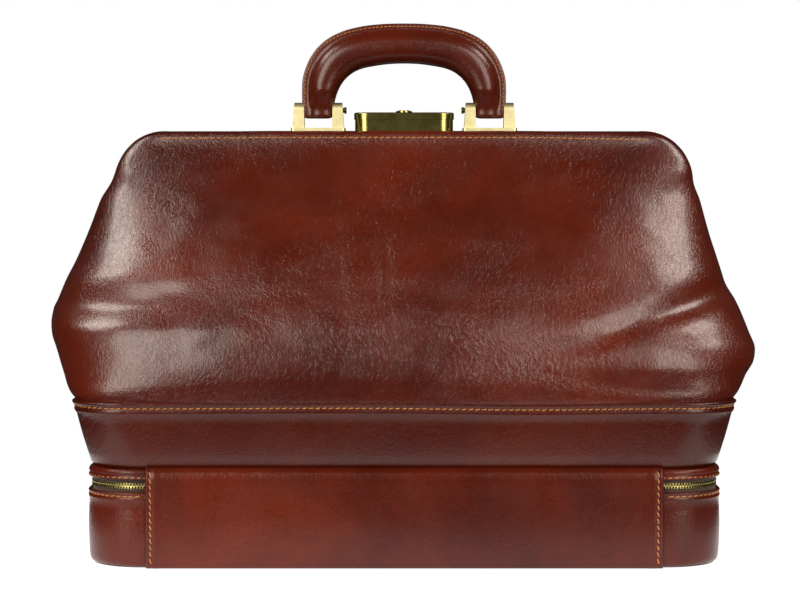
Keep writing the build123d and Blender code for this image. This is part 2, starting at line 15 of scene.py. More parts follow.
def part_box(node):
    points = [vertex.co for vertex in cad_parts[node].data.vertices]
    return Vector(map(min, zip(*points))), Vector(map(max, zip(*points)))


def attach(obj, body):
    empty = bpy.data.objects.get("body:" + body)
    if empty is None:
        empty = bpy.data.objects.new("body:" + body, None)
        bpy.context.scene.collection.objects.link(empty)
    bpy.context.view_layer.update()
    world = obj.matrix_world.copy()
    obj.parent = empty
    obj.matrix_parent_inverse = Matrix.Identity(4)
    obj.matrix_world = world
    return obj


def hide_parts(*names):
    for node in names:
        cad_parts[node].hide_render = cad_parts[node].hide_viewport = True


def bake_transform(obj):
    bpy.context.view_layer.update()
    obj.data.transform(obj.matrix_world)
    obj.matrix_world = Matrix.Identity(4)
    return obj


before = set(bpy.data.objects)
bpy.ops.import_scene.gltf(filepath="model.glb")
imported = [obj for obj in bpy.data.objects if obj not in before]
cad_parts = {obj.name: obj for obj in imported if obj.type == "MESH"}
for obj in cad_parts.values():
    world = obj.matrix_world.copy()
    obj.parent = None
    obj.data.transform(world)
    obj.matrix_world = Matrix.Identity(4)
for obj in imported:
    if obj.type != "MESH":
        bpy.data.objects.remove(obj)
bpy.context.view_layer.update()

bl_info = {
    "name": "Doctor Bag",
    "version": (1, 0, 0),
    "blender": (4, 5, 0),
    "location": "View3D > Sidebar > Doctor Bag",
    "description": "Hide, stitching, zip, jaws, handle and brass fittings of a doctor bag",
    "category": "Object",
}

# Lengths are in metres. A profile is a list of (height, how far it stands out) stations.
MM = 0.001
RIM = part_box("front_jaw_cover")[1].z
PANEL_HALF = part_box("hinge_panel")[1].x

# The hide: where its wall starts, and the arch of the jaw that it is drawn over.
HIDE_FOOT = 0.098
HIDE_STAND = 0.0012
HIDE_THICK = 0.0010
ARCH_CORNER = 0.0315
ARCH_FLAT = 0.1532
RIM_ROUND = 0.0034
MIDDLE_GAP = 0.00015

# The tray, and the belt that grows from its foot to its top.
TRAY_X, TRAY_Y, TRAY_CORNER = 0.196, 0.112, 0.034
BELT_FOOT, BELT_TOP = 0.0600, 0.1022
BELT_X, BELT_Y, BELT_CORNER = 0.1940, 0.1095, 0.033
BELT_GROW_X, BELT_GROW_Y, BELT_GROW_CORNER = 0.0112, 0.0068, 0.001
WALL_THICK = 0.0019
WALL_START = 0.25

# The handle, in the plane of the front jaw's edge.
HANDLE_Y = -0.012
WELT = 0.0046
WELT_ANGLE = 0.62
WELT_CREST = 0.62
GRIP_POWER = 0.92


# ---------------------------------------------------------------- settings
class BagLeather(bpy.types.PropertyGroup):
    """Colours and finish of the hide."""

    deep: FloatVectorProperty(
        name="Deep brown", description="Darkest colour of the hide", subtype="COLOR",
        size=3, min=0, max=1, default=(0.032, 0.0028, 0.0008))
    warm: FloatVectorProperty(
        name="Warm brown", description="Lightest colour of the hide", subtype="COLOR",
        size=3, min=0, max=1, default=(0.112, 0.0130, 0.0038))
    tray_warm: FloatVectorProperty(
        name="Tray brown", description="Lightest colour of the lower compartment", subtype="COLOR",
        size=3, min=0, max=1, default=(0.122, 0.0135, 0.0036))
    gloss: FloatProperty(
        name="Polish", description="Strength of the clear polish", subtype="FACTOR",
        min=0, max=1, default=0.3)
    grain: FloatProperty(
        name="Grain size", description="Width of one pebble of the grain", subtype="DISTANCE",
        unit="LENGTH", min=0.0003, max=0.004, default=0.0010)


class BagTrim(bpy.types.PropertyGroup):
    """Thread, zip and metal."""

    thread: FloatVectorProperty(
        name="Thread", description="Colour of the stitching", subtype="COLOR",
        size=3, min=0, max=1, default=(0.52, 0.20, 0.045))
    stitch: FloatProperty(
        name="Stitch length", description="Distance from one stitch to the next", subtype="DISTANCE",
        unit="LENGTH", min=0.001, max=0.01, default=0.00404)
    tooth: FloatProperty(
        name="Tooth pitch", description="Distance from one zip tooth to the next", subtype="DISTANCE",
        unit="LENGTH", min=0.001, max=0.005, default=0.00176)
    brass: FloatVectorProperty(
        name="Pale brass", description="Colour of the handle brackets", subtype="COLOR",
        size=3, min=0, max=1, default=(0.84, 0.78, 0.44))
    # Brass painted darker than the pale brass: the darkness is painted reflection, standing in for the dark
    # surroundings that the polished lock reflects.
    shaded_brass: FloatVectorProperty(
        name="Brass painted dark", description="Colour of the lock", subtype="COLOR",
        size=3, min=0, max=1, default=(0.36, 0.32, 0.10))


class BagStage(bpy.types.PropertyGroup):
    """Camera, and the rows of the hide's mesh."""

    distance: FloatProperty(
        name="Camera distance", description="From the middle of the bag", subtype="DISTANCE",
        unit="LENGTH", min=0.5, max=10, default=1.6)
    eye: FloatProperty(
        name="Eye height", description="Height of the camera", subtype="DISTANCE",
        unit="LENGTH", min=0, max=3, default=0.232)
    tilt: FloatProperty(
        name="Tilt", description="How far the camera looks down", subtype="ANGLE",
        unit="ROTATION", min=0, max=1.5, default=math.radians(2.6))
    lens: FloatProperty(
        name="Lens", description="Focal length", subtype="DISTANCE_CAMERA",
        min=20, max=300, default=110.3)
    rows: IntProperty(
        name="Hide rows", description="Rows of the hide's mesh", min=20, max=400, default=120)


def settings():
    """The three groups of settings: leather, trim and stage."""
    scene = bpy.context.scene
    return scene.bag_leather, scene.bag_trim, scene.bag_stage


# ---------------------------------------------------------------- smooth profiles
def cubic(knots, values, slopes, at):
    """A cubic through values with given slopes at the knots."""
    k = np.clip(np.searchsorted(knots, at, side="right") - 1, 0, len(knots) - 2)
    h = knots[k + 1] - knots[k]
    t = (at - knots[k]) / h
    return (
        (2 * t**3 - 3 * t**2 + 1) * values[k]
        + (t**3 - 2 * t**2 + t) * h * slopes[k]
        + (3 * t**2 - 2 * t**3) * values[k + 1]
        + (t**3 - t**2) * h * slopes[k + 1]
    )


def smooth(points, at):
    """A monotone curve through (position, value) pairs, read at the given positions."""
    x, y = np.array(points, float).T
    h = np.diff(x)
    slope = np.diff(y) / h
    m = np.zeros_like(y)
    m[0], m[-1] = slope[0], slope[-1]
    for i in range(1, len(x) - 1):
        if slope[i - 1] * slope[i] > 0:
            w0, w1 = 2 * h[i] + h[i - 1], h[i] + 2 * h[i - 1]
            m[i] = (w0 + w1) / (w0 / slope[i - 1] + w1 / slope[i])
    return cubic(x, y, m, np.clip(np.asarray(at, float), x[0], x[-1]))


def ease(t):
    """Eases from 0 to 1, and holds both ends."""
    t = np.clip(t, 0, 1)
    return t * t * (3 - 2 * t)


def outline(half_x, half_y, corner, start, stop, count):
    """Points and outward normals along part of a rounded rectangle.

    start and stop are fractions of the way round, from the middle of the front by the left end."""
    flat_x, flat_y = half_x - corner, half_y - corner
    turn = corner * math.pi / 2
    total = 4 * (flat_x + flat_y + turn)
    lengths = np.array([flat_x, turn, 2 * flat_y, turn, 2 * flat_x, turn, 2 * flat_y, turn, flat_x])
    ends = np.concatenate([[0], np.cumsum(lengths)])
    s = np.linspace(start, stop, count) * total
    points, normals = np.zeros((count, 2)), np.zeros((count, 2))
    for i, value in enumerate(s):
        k = min(int(np.searchsorted(ends, value % total, side="right")) - 1, 8)
        d = value % total - ends[k]
        if k == 0:
            p, n = (-d, -half_y), (0, -1)
        elif k == 2:
            p, n = (-half_x, -flat_y + d), (-1, 0)
        elif k == 4:
            p, n = (-flat_x + d, half_y), (0, 1)
        elif k == 6:
            p, n = (half_x, flat_y - d), (1, 0)
        elif k == 8:
            p, n = (flat_x - d, -half_y), (0, -1)
        else:
            centre_x, centre_y, turned = {
                1: (-flat_x, -flat_y, -90), 3: (-flat_x, flat_y, 180),
                5: (flat_x, flat_y, 90), 7: (flat_x, -flat_y, 0),
            }[k]
            angle = turned - math.degrees(d / corner)
            n = (math.cos(math.radians(angle)), math.sin(math.radians(angle)))
            p = (centre_x + corner * n[0], centre_y + corner * n[1])
        points[i], normals[i] = p, n
    return points, normals


def carry(points, values, at):
    """Values given at the points of a line, read at lengths along it."""
    step = np.linalg.norm(np.diff(points, axis=0), axis=1)
    s = np.concatenate([[0], np.cumsum(step)])
    return np.stack([np.interp(at, s, values[:, i]) for i in range(3)], axis=1)


# ---------------------------------------------------------------- mesh making
def new_object(name, vertices, faces, uv=None, smooth_shading=True):
    """A mesh object in the scene, with UVs given point by point."""
    mesh = bpy.data.meshes.new(name)
    mesh.from_pydata(np.asarray(vertices).tolist(), [], [list(f) for f in faces])
    mesh.update()
    if uv is not None:
        index = np.zeros(len(mesh.loops), np.int32)
        mesh.loops.foreach_get("vertex_index", index)
        layer = mesh.uv_layers.new(name="UVMap")
        layer.data.foreach_set("uv", np.asarray(uv, np.float32)[index].ravel())
    if smooth_shading:
        mesh.polygons.foreach_set("use_smooth", np.ones(len(mesh.polygons), bool))
    obj = bpy.data.objects.new(name, mesh)
    bpy.context.scene.collection.objects.link(obj)
    return obj


def grid_normals(grid, loop=False):
    """Unit normals of a grid of points; rows go up and columns go round."""
    if loop:
        across = np.roll(grid, -1, axis=1) - np.roll(grid, 1, axis=1)
    else:
        across = np.gradient(grid, axis=1)
    up = np.gradient(grid, axis=0)
    n = np.cross(up, across)
    return n / np.maximum(np.linalg.norm(n, axis=2, keepdims=True), 1e-12)


def sheet(name, outer, inner, loop=False):
    """A closed skin between an outer and an inner grid of points, with UVs in metres."""
    rows, cols = outer.shape[:2]
    count = rows * cols
    index = np.arange(count).reshape(rows, cols)
    if loop:
        index = np.concatenate([index, index[:, :1]], axis=1)
    a, b = index[:-1, :-1].ravel(), index[:-1, 1:].ravel()
    c, d = index[1:, 1:].ravel(), index[1:, :-1].ravel()
    faces = [np.stack([a, d, c, b], axis=1), np.stack([a, b, c, d], axis=1) + count]
    low, high = index[0], index[-1]
    faces.append(np.stack([low[:-1], low[1:], low[1:] + count, low[:-1] + count], axis=1))
    faces.append(np.stack([high[1:], high[:-1], high[:-1] + count, high[1:] + count], axis=1))
    if not loop:
        left, right = index[:, 0], index[:, -1]
        faces.append(np.stack([left[1:], left[:-1], left[:-1] + count, left[1:] + count], axis=1))
        faces.append(np.stack([right[:-1], right[1:], right[1:] + count, right[:-1] + count], axis=1))
    along, rise = np.zeros((rows, cols)), np.zeros((rows, cols))
    along[:, 1:] = np.cumsum(np.linalg.norm(np.diff(outer, axis=1), axis=2), axis=1)
    along -= along[:, -1:] / 2
    rise[1:] = np.cumsum(np.linalg.norm(np.diff(outer, axis=0), axis=2), axis=0)
    uv = np.stack([along, rise], axis=2)
    points = np.concatenate([outer.reshape(-1, 3), inner.reshape(-1, 3)])
    return new_object(name, points, np.concatenate(faces), np.concatenate([uv.reshape(-1, 2)] * 2))


def band(name, rows, start, stop, count, loop=True, wave=None):
    """A skin round the bag. Each row is (z, half_x, half_y, corner, thickness)."""
    outer, inner = [], []
    for z, half_x, half_y, corner, thickness in rows:
        p, n = outline(half_x, half_y, corner, start, stop, count + 1 if loop else count)
        if loop:
            p, n = p[:-1], n[:-1]
        level = np.full((len(p), 1), z)
        outer.append(np.hstack([p, level]))
        inner.append(np.hstack([p - n * thickness, level]))
    outer, inner = np.array(outer), np.array(inner)
    if wave:
        outer, inner = wave(outer), wave(inner)
    return sheet(name, outer, inner, loop)


def resample(points, pitch):
    """Evenly spaced points and tangents along a line, and their lengths along it."""
    length = np.linalg.norm(np.diff(points, axis=0), axis=1).sum()
    count = max(2, int(round(length / pitch)))
    at = (np.arange(count) + 0.5) * length / count
    tangent = carry(points, points, at + pitch / 4) - carry(points, points, at - pitch / 4)
    tangent /= np.linalg.norm(tangent, axis=1, keepdims=True)
    return carry(points, points, at), tangent, at


def many(name, template, faces, places, axes):
    """Copies of a small shape, each placed by its own three axes, as one mesh."""
    template = np.asarray(template)
    points = [place + template @ own_axes for place, own_axes in zip(places, axes)]
    all_faces = [[k + i * len(template) for k in face] for i in range(len(places)) for face in faces]
    return new_object(name, np.concatenate(points), all_faces)


def rings_of_faces(rings, around):
    """Quads between rings of points, and a cap at each end."""
    faces = []
    for ring in range(rings - 1):
        for k in range(around):
            a, b = ring * around + k, ring * around + (k + 1) % around
            faces.append([a, b, b + around, a + around])
    faces.append(list(range(around))[::-1])
    faces.append([(rings - 1) * around + k for k in range(around)])
    return faces


def thread_shape(length, radius, sides=6):
    """One stitch: a short fat thread whose ends dive into the leather."""
    half = ((-0.5, -1.5, 0.6), (-0.38, -0.1, 0.95), (-0.15, 0.45, 1.0))
    stations = half + tuple((-along, height, size) for along, height, size in half[::-1])
    points = []
    for along, height, size in stations:
        for k in range(sides):
            angle = 2 * math.pi * k / sides
            across, up = math.cos(angle) * radius * size, (height + math.sin(angle) * size) * radius
            points.append((along * length, across, up))
    return points, rings_of_faces(len(stations), sides)


def stitches(name, points, normals, slant=0.16, size=1.0):
    """A row of saddle stitches along a line that lies on the leather."""
    _, trim, _ = settings()
    pitch = trim.stitch * size
    places, tangents, at = resample(points, pitch)
    rng = random.Random(name)
    axes = []
    for tangent, normal in zip(tangents, carry(points, normals, at)):
        normal = normal - tangent * float(np.dot(normal, tangent))
        normal = normal / np.linalg.norm(normal)
        side = np.cross(normal, tangent)
        lean = slant + rng.uniform(-0.05, 0.05)
        along = tangent * math.cos(lean) + side * math.sin(lean)
        across = np.cross(normal, along)
        axes.append(np.stack([along * rng.uniform(0.93, 1.05), across, normal]))
    shape, faces = thread_shape(pitch * 0.86, 0.00042 * size)
    obj = many(name, shape, faces, places, axes)
    finish_with(obj, thread_finish())
    return obj


def finish_with(obj, material):
    """Gives a new piece its material."""
    obj.data.materials.clear()
    obj.data.materials.append(material)


# ---------------------------------------------------------------- finishes
def new_material(name):
    """A material with a bare shader, or the finished one of that name and no nodes."""
    material = bpy.data.materials.get(name)
    if material:
        return material, None, None
    material = bpy.data.materials.new(name)
    material.use_nodes = True
    nodes, links = material.node_tree.nodes, material.node_tree.links
    nodes.clear()
    shader = nodes.new("ShaderNodeBsdfPrincipled")
    output = nodes.new("ShaderNodeOutputMaterial")
    links.new(shader.outputs[0], output.inputs[0])
    return material, nodes, links


def add_noise(nodes, links, coordinates, scale, detail=4.0, roughness=0.55, distortion=0.0):
    """Cloudy values."""
    node = nodes.new("ShaderNodeTexNoise")
    node.inputs["Scale"].default_value = scale
    node.inputs["Detail"].default_value = detail
    node.inputs["Roughness"].default_value = roughness
    node.inputs["Distortion"].default_value = distortion
    links.new(coordinates, node.inputs["Vector"])
    return node.outputs["Fac"]


def add_ramp(nodes, links, source, stops):
    """Colours from values, through (position, colour) stops."""
    node = nodes.new("ShaderNodeValToRGB")
    ramp = node.color_ramp
    while len(ramp.elements) < len(stops):
        ramp.elements.new(0.5)
    for element, (position, colour) in zip(ramp.elements, stops):
        element.position = position
        element.color = (*colour, 1)
    links.new(source, node.inputs[0])
    return node.outputs[0]


def add_map(nodes, links, source, low, high, to_low, to_high):
    """Values stretched from one range to another, and held at its ends."""
    node = nodes.new("ShaderNodeMapRange")
    for i, value in enumerate((low, high, to_low, to_high)):
        node.inputs[i + 1].default_value = value
    links.new(source, node.inputs[0])
    return node.outputs[0]


def add_math(nodes, links, operation, first, second):
    """Two values put together."""
    node = nodes.new("ShaderNodeMath")
    node.operation = operation
    links.new(first, node.inputs[0])
    links.new(second, node.inputs[1])
    return node.outputs[0]


def add_bump(nodes, links, height, strength, distance, before=None):
    """Relief in the finish, on top of any relief before it."""
    node = nodes.new("ShaderNodeBump")
    node.inputs["Strength"].default_value = strength
    node.inputs["Distance"].default_value = distance
    links.new(height, node.inputs["Height"])
    if before:
        links.new(before, node.inputs["Normal"])
    return node.outputs[0]


def leather_finish(name="hide_leather", warm=None, creased=1.0, polish=1.0):
    """Polished vegetable-tanned hide: cloudy colour, fine pebble grain, stretch lines and a clear coat."""
    leather, _, _ = settings()
    material, nodes, links = new_material(name)
    if nodes is None:
        return material
    shader = nodes["Principled BSDF"]
    where = nodes.new("ShaderNodeTexCoord").outputs["UV"]
    warm = warm or leather.warm
    clouds = add_noise(nodes, links, where, 7.5, 6, 0.6, 0.4)
    between = tuple((a + b) / 2 for a, b in zip(leather.deep, warm))
    colour = add_ramp(nodes, links, clouds, ((0.30, leather.deep), (0.52, between), (0.74, warm)))
    fine = add_noise(nodes, links, where, 260, 3, 0.6)
    pores = add_ramp(nodes, links, fine, ((0.3, (0.62, 0.58, 0.55)), (0.7, (1, 1, 1))))
    speckle = nodes.new("ShaderNodeMix")
    speckle.data_type = "RGBA"
    speckle.blend_type = "MULTIPLY"
    speckle.inputs["Factor"].default_value = 0.35
    links.new(colour, speckle.inputs[6])
    links.new(pores, speckle.inputs[7])
    links.new(speckle.outputs[2], shader.inputs["Base Color"])
    grain = nodes.new("ShaderNodeTexVoronoi")
    grain.inputs["Scale"].default_value = 1 / leather.grain
    grain.inputs["Randomness"].default_value = 0.95
    links.new(where, grain.inputs["Vector"])
    stretch = nodes.new("ShaderNodeMapping")
    stretch.inputs["Rotation"].default_value = (0, 0, math.radians(32))
    stretch.inputs["Scale"].default_value = (1.0, 0.62, 1.0)
    links.new(where, stretch.inputs["Vector"])
    lines = add_noise(nodes, links, stretch.outputs[0], 420, 3, 0.55, 1.3)
    patches = add_noise(nodes, links, where, 11, 2, 0.5)
    amount = add_map(nodes, links, patches, 0.34, 0.60, 0.35 * creased, creased)
    marks = add_math(nodes, links, "MULTIPLY", lines, amount)
    pebbles = add_bump(nodes, links, grain.outputs["Distance"], 0.30, 0.00026)
    links.new(add_bump(nodes, links, marks, 0.75, 0.0006, pebbles), shader.inputs["Normal"])
    rubbed = add_noise(nodes, links, where, 32, 5, 0.6)
    links.new(add_map(nodes, links, rubbed, 0.3, 0.75, 0.22, 0.36), shader.inputs["Roughness"])
    shader.inputs["Specular IOR Level"].default_value = 0.5 * polish
    shader.inputs["Coat Weight"].default_value = leather.gloss * polish
    shader.inputs["Coat Roughness"].default_value = 0.17
    return material


def thread_finish():
    """Waxed two-ply thread."""
    _, trim, _ = settings()
    material, nodes, links = new_material("waxed_thread")
    if nodes is None:
        return material
    shader = nodes["Principled BSDF"]
    where = nodes.new("ShaderNodeTexCoord").outputs["Object"]
    shade = add_noise(nodes, links, where, 900, 3)
    dark = tuple(c * 0.45 for c in trim.thread)
    colour = add_ramp(nodes, links, shade, ((0.3, dark), (0.6, tuple(trim.thread))))
    links.new(colour, shader.inputs["Base Color"])
    twist = nodes.new("ShaderNodeTexWave")
    twist.inputs["Scale"].default_value = 900
    links.new(where, twist.inputs["Vector"])
    links.new(add_bump(nodes, links, twist.outputs["Fac"], 0.5, 0.0002), shader.inputs["Normal"])
    shader.inputs["Roughness"].default_value = 0.55
    return material


def metal_finish(name, colour, roughness, tarnish):
    """Brushed metal with darker tarnish in random blotches."""
    material, nodes, links = new_material(name)
    if nodes is None:
        return material
    shader = nodes["Principled BSDF"]
    where = nodes.new("ShaderNodeTexCoord").outputs["Object"]
    stretch = nodes.new("ShaderNodeMapping")
    stretch.inputs["Scale"].default_value = (0.03, 1, 1)
    links.new(where, stretch.inputs["Vector"])
    brushed = add_noise(nodes, links, stretch.outputs[0], 2600, 3, 0.6)
    stain = add_noise(nodes, links, where, 160, 5, 0.65)
    dark = tuple(c * tarnish for c in colour)
    tint = add_ramp(nodes, links, stain, ((0.32, dark), (0.62, tuple(colour))))
    links.new(tint, shader.inputs["Base Color"])
    rough = add_map(nodes, links, brushed, 0.3, 0.7, roughness * 0.93, roughness * 1.08)
    links.new(rough, shader.inputs["Roughness"])
    links.new(add_bump(nodes, links, brushed, 0.04, 0.0001), shader.inputs["Normal"])
    shader.inputs["Metallic"].default_value = 1.0
    return material


def cloth_finish(name, light, dark, count=900):
    """Plain-woven cloth, with count setting how fine the weave is."""
    material, nodes, links = new_material(name)
    if nodes is None:
        return material
    shader = nodes["Principled BSDF"]
    where = nodes.new("ShaderNodeTexCoord").outputs["UV"]
    heights = []
    for axis in ("X", "Y"):
        wave = nodes.new("ShaderNodeTexWave")
        wave.bands_direction = axis
        wave.inputs["Scale"].default_value = count / 6
        wave.inputs["Distortion"].default_value = 0.6
        links.new(where, wave.inputs["Vector"])
        heights.append(wave.outputs["Fac"])
    weave = add_math(nodes, links, "MULTIPLY", *heights)
    mixed = add_math(nodes, links, "ADD", weave, add_noise(nodes, links, where, 30, 4))
    links.new(add_ramp(nodes, links, mixed, ((0.3, dark), (1.0, light))), shader.inputs["Base Color"])
    links.new(add_bump(nodes, links, weave, 0.4, 0.0003), shader.inputs["Normal"])
    shader.inputs["Roughness"].default_value = 0.85
    shader.inputs["Sheen Weight"].default_value = 0.25
    return material


def tray_finish():
    """The leather of the tray, the hinge panel and the strip over the zip."""
    leather, _, _ = settings()
    return leather_finish("tray_leather", tuple(leather.tray_warm), 0.5, 0.5)


def lining_finish():
    """Fawn cotton lining."""
    return cloth_finish("lining_cloth", (0.40, 0.27, 0.16), (0.24, 0.15, 0.085))


def board_finish():
    """Grey-brown pressed board and bare wood."""
    material, nodes, links = new_material("pressed_board")
    if nodes is None:
        return material
    shader = nodes["Principled BSDF"]
    where = nodes.new("ShaderNodeTexCoord").outputs["Object"]
    fibre = add_noise(nodes, links, where, 700, 6, 0.7, 0.8)
    colour = add_ramp(nodes, links, fibre, ((0.3, (0.20, 0.13, 0.08)), (0.7, (0.36, 0.26, 0.17))))
    links.new(colour, shader.inputs["Base Color"])
    links.new(add_bump(nodes, links, fibre, 0.4, 0.0003), shader.inputs["Normal"])
    shader.inputs["Roughness"].default_value = 0.8
    return material


# ---------------------------------------------------------------- hide of the upper bag
# Half depth, half length at each end and squareness of the outline, by height.
HIDE_DEPTH = (
    (0.098, 0.1140), (0.101, 0.1152), (0.118, 0.1186), (0.140, 0.1155), (0.170, 0.1000), (0.200, 0.0785),
    (0.226, 0.0555), (0.240, 0.0432), (0.252, 0.0335), (0.262, 0.0278), (0.269, 0.0258),
)
HIDE_LEFT = (
    (0.098, 0.2010), (0.101, 0.2032), (0.107, 0.2085), (0.118, 0.2140), (0.132, 0.2197), (0.1413, 0.2233),
    (0.150, 0.2247), (0.156, 0.2242), (0.1616, 0.2217), (0.173, 0.2165), (0.187, 0.2095), (0.212, 0.1994),
    (0.225, 0.1945), (0.2374, 0.1886), (0.244, 0.1862),
)
HIDE_RIGHT = (
    (0.098, 0.2010), (0.101, 0.2032), (0.107, 0.2085), (0.1164, 0.2142), (0.125, 0.2196), (0.132, 0.2208),
    (0.1413, 0.2183), (0.1616, 0.2113), (0.173, 0.2055), (0.187, 0.2005), (0.212, 0.1932), (0.225, 0.1898),
    (0.2374, 0.1858), (0.244, 0.1850),
)
HIDE_SQUARE = (
    (0.098, 9.0), (0.104, 8.0), (0.118, 5.6), (0.140, 4.4), (0.170, 3.9), (0.200, 3.8),
    (0.226, 4.4), (0.245, 7.0), (0.258, 11.0), (0.269, 13.0),
)
# Dents in the front half: (middle, size, turn, depth). The rear half has them the other way round.
DENTS = (
    ((-0.192, 0.161), (0.060, 0.0110), 0.06, -0.0038),
    ((-0.140, 0.140), (0.018, 0.0200), 0.40, -0.0012),
    ((0.192, 0.166), (0.030, 0.0100), 0.25, -0.0020),
    ((0.150, 0.153), (0.065, 0.0080), 0.32, -0.0034),
    ((0.175, 0.128), (0.045, 0.0120), 0.10, 0.0022),
    ((0.130, 0.114), (0.050, 0.0070), -0.10, -0.0016),
    ((0.000, 0.150), (0.120, 0.0400), 0.0, -0.0018),
    ((-0.045, 0.196), (0.008, 0.0500), 0.12, -0.0010),
    ((-0.012, 0.182), (0.005, 0.0260), 0.05, -0.0010),
    ((0.020, 0.121), (0.016, 0.0180), -0.40, -0.0011),
    ((0.085, 0.200), (0.020, 0.0600), -0.15, -0.0010),
)


def arch_half(z):
    """Half length of the covered jaw at one height."""
    rise = np.clip(z - (RIM - ARCH_CORNER), 0, ARCH_CORNER)
    return ARCH_FLAT + np.sqrt(np.maximum(ARCH_CORNER**2 - rise**2, 0))


def hide_levels(count):
    """Heights, depths and end lengths of the hide's rows: up the wall, over the rim and in to the mouth."""
    wall = np.linspace(HIDE_FOOT, RIM - ARCH_CORNER, int(count * 0.74))
    turn = np.linspace(0, math.pi / 2, count - len(wall) + 1)[1:]
    corner = RIM - ARCH_CORNER + ARCH_CORNER * np.sin(turn)
    z = np.concatenate([wall, corner])
    depth = smooth(HIDE_DEPTH, z)
    near_top = np.clip((z - (RIM - RIM_ROUND)) / RIM_ROUND, 0, 1)
    depth = depth - RIM_ROUND * (1 - np.sqrt(1 - near_top**2))
    ends = []
    for table in (HIDE_LEFT, HIDE_RIGHT):
        side = smooth(table, z)
        blend = ease((z - 0.226) / 0.026)
        ends.append(side * (1 - blend) + arch_half(z) * blend)
    square = smooth(HIDE_SQUARE, z)
    return z, depth, ends[0], ends[1], square


def hide_row(depth, left, right, square, cols, edge):
    """Half of the hide's outline at one height, from the left end to the right end."""
    angle = np.linspace(0, math.pi, 1400)
    c, s = np.cos(angle), np.sin(angle)
    side = np.where(c > 0, left, right)
    x = -np.sign(c) * side * np.abs(c) ** (2 / square)
    y = np.maximum(depth * np.abs(s) ** (2 / square), edge)
    length = np.concatenate([[0], np.cumsum(np.hypot(np.diff(x), np.diff(y)))])
    at = np.linspace(0, length[-1], cols)
    return np.interp(at, length, x), np.interp(at, length, y)


def hollow(x, z, centre, size, angle=0.0):
    """A soft dent: its depth factor at each point."""
    c, s = math.cos(angle), math.sin(angle)
    dx, dz = x - centre[0], z - centre[1]
    along, across = dx * c + dz * s, -dx * s + dz * c
    return np.exp(-((along / size[0]) ** 2) - (across / size[1]) ** 2)


def hide_relief(x, y, z, front):
    """How far the hide stands off its smooth shape: folds near the ends, sag and small creases."""
    relief = np.zeros_like(x)
    for centre, size, angle, depth in DENTS:
        place = centre if front else (-centre[0] * 0.93, centre[1] - 0.004)
        relief += depth * hollow(x, z, place, size, angle if front else -angle)
    seed = 3.1 if front else 27.4
    slow, quick = np.zeros_like(x), np.zeros_like(x)
    for i, j in np.ndindex(*x.shape):
        px, py, pz = x[i, j], y[i, j], z[i, j]
        slow[i, j] = noise.noise((px * 16, py * 16, pz * 20 + seed))
        quick[i, j] = noise.noise((px * 60 + pz * 22, py * 60, pz * 90 + seed))
    loose = ease((z - 0.103) / 0.03) * (1 - ease((z - 0.225) / 0.03))
    calm = 1 - 0.75 * ease((np.abs(x) - 0.150) / 0.04)
    relief *= 0.25 + 0.75 * ease((np.abs(y) - 0.030) / 0.04)
    relief = relief * (1 - ease((z - 0.228) / 0.02)) + (slow * 0.0018 + quick * 0.0004) * loose * calm
    return relief * ease((z - 0.1015) / 0.008)


def hide_grid(front, inset=-HIDE_STAND, plain=False, cols=280, low=None, high=None):
    """The outer surface of one half of the upper bag as rows of points.

    A plain grid has no relief, and low and high keep only the rows between two heights."""
    _, _, stage = settings()
    z, depth, left, right, square = hide_levels(stage.rows)
    keep = np.ones(len(z), bool)
    if low is not None:
        keep &= z >= low
    if high is not None:
        keep &= z <= high
    rows = []
    for level, d, l, r, q in zip(z[keep], depth[keep], left[keep], right[keep], square[keep]):
        gap = 0.0008 * float(ease((level - 0.216) / 0.01)) + MIDDLE_GAP
        x, y = hide_row(d - inset, l - inset, r - inset, q, cols, gap)
        rows.append(np.stack([x, -y, np.full(cols, level)], axis=1))
    if high is None:
        x, y = rows[-1][:, 0], rows[-1][:, 1]
        for shrink in (0.86, 0.6, 0.3, 0.0):
            inward = np.minimum(y * shrink, -0.0009)
            rows.append(np.stack([x, inward, np.full(cols, RIM)], axis=1))
    grid = np.array(rows)[:, ::-1]
    if not plain:
        wall = grid[:, :, 2] < RIM - 1e-6
        relief = hide_relief(grid[:, :, 0], grid[:, :, 1], grid[:, :, 2], front)
        grid = grid + grid_normals(grid) * (relief * wall)[:, :, None]
        x, y, z = (grid[:, :, i] for i in range(3))
        y[:] = np.minimum(y, -MIDDLE_GAP)
        droop = 0.0012 * ease((x - 0.07) / 0.085) + 0.0005 * ease((-x - 0.08) / 0.06)
        z -= droop * ease((z - 0.240) / 0.02) * (np.abs(y) > 0.018)
    if not front:
        grid = grid[:, ::-1] * np.array([1, -1, 1])
    return grid


def make_hide(front):
    """Half of the upper bag, from the belt to the mouth."""
    half, side = ("front", "left") if front else ("rear", "right")
    jaw = f"{half}_jaw"
    outer = hide_grid(front)
    normals = grid_normals(outer)
    inner = keep_side(outer - normals * HIDE_THICK, front, MIDDLE_GAP)
    obj = sheet(f"hide_{half}", outer, inner)
    finish_with(obj, leather_finish())
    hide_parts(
        f"{half}_panel", f"{half}_panel_top", f"{half}_jaw_cover",
        f"gusset_{side}", f"gusset_{side}_top")
    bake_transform(obj)
    row = int(np.argmin(np.abs(outer[:, outer.shape[1] // 2, 2] - (RIM - 0.0046))))
    sewn = np.abs(outer[row, :, 0]) < 0.158
    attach(stitches(f"rim_stitches_{half}", outer[row, sewn], normals[row, sewn]), jaw)
    make_neck_lining(front, outer, normals)


def keep_side(grid, front, gap):
    """Keeps an inner face on its own side of the middle plane."""
    pick, middle = (np.minimum, -gap) if front else (np.maximum, gap)
    grid[:, :, 1] = pick(grid[:, :, 1], middle)
    return grid


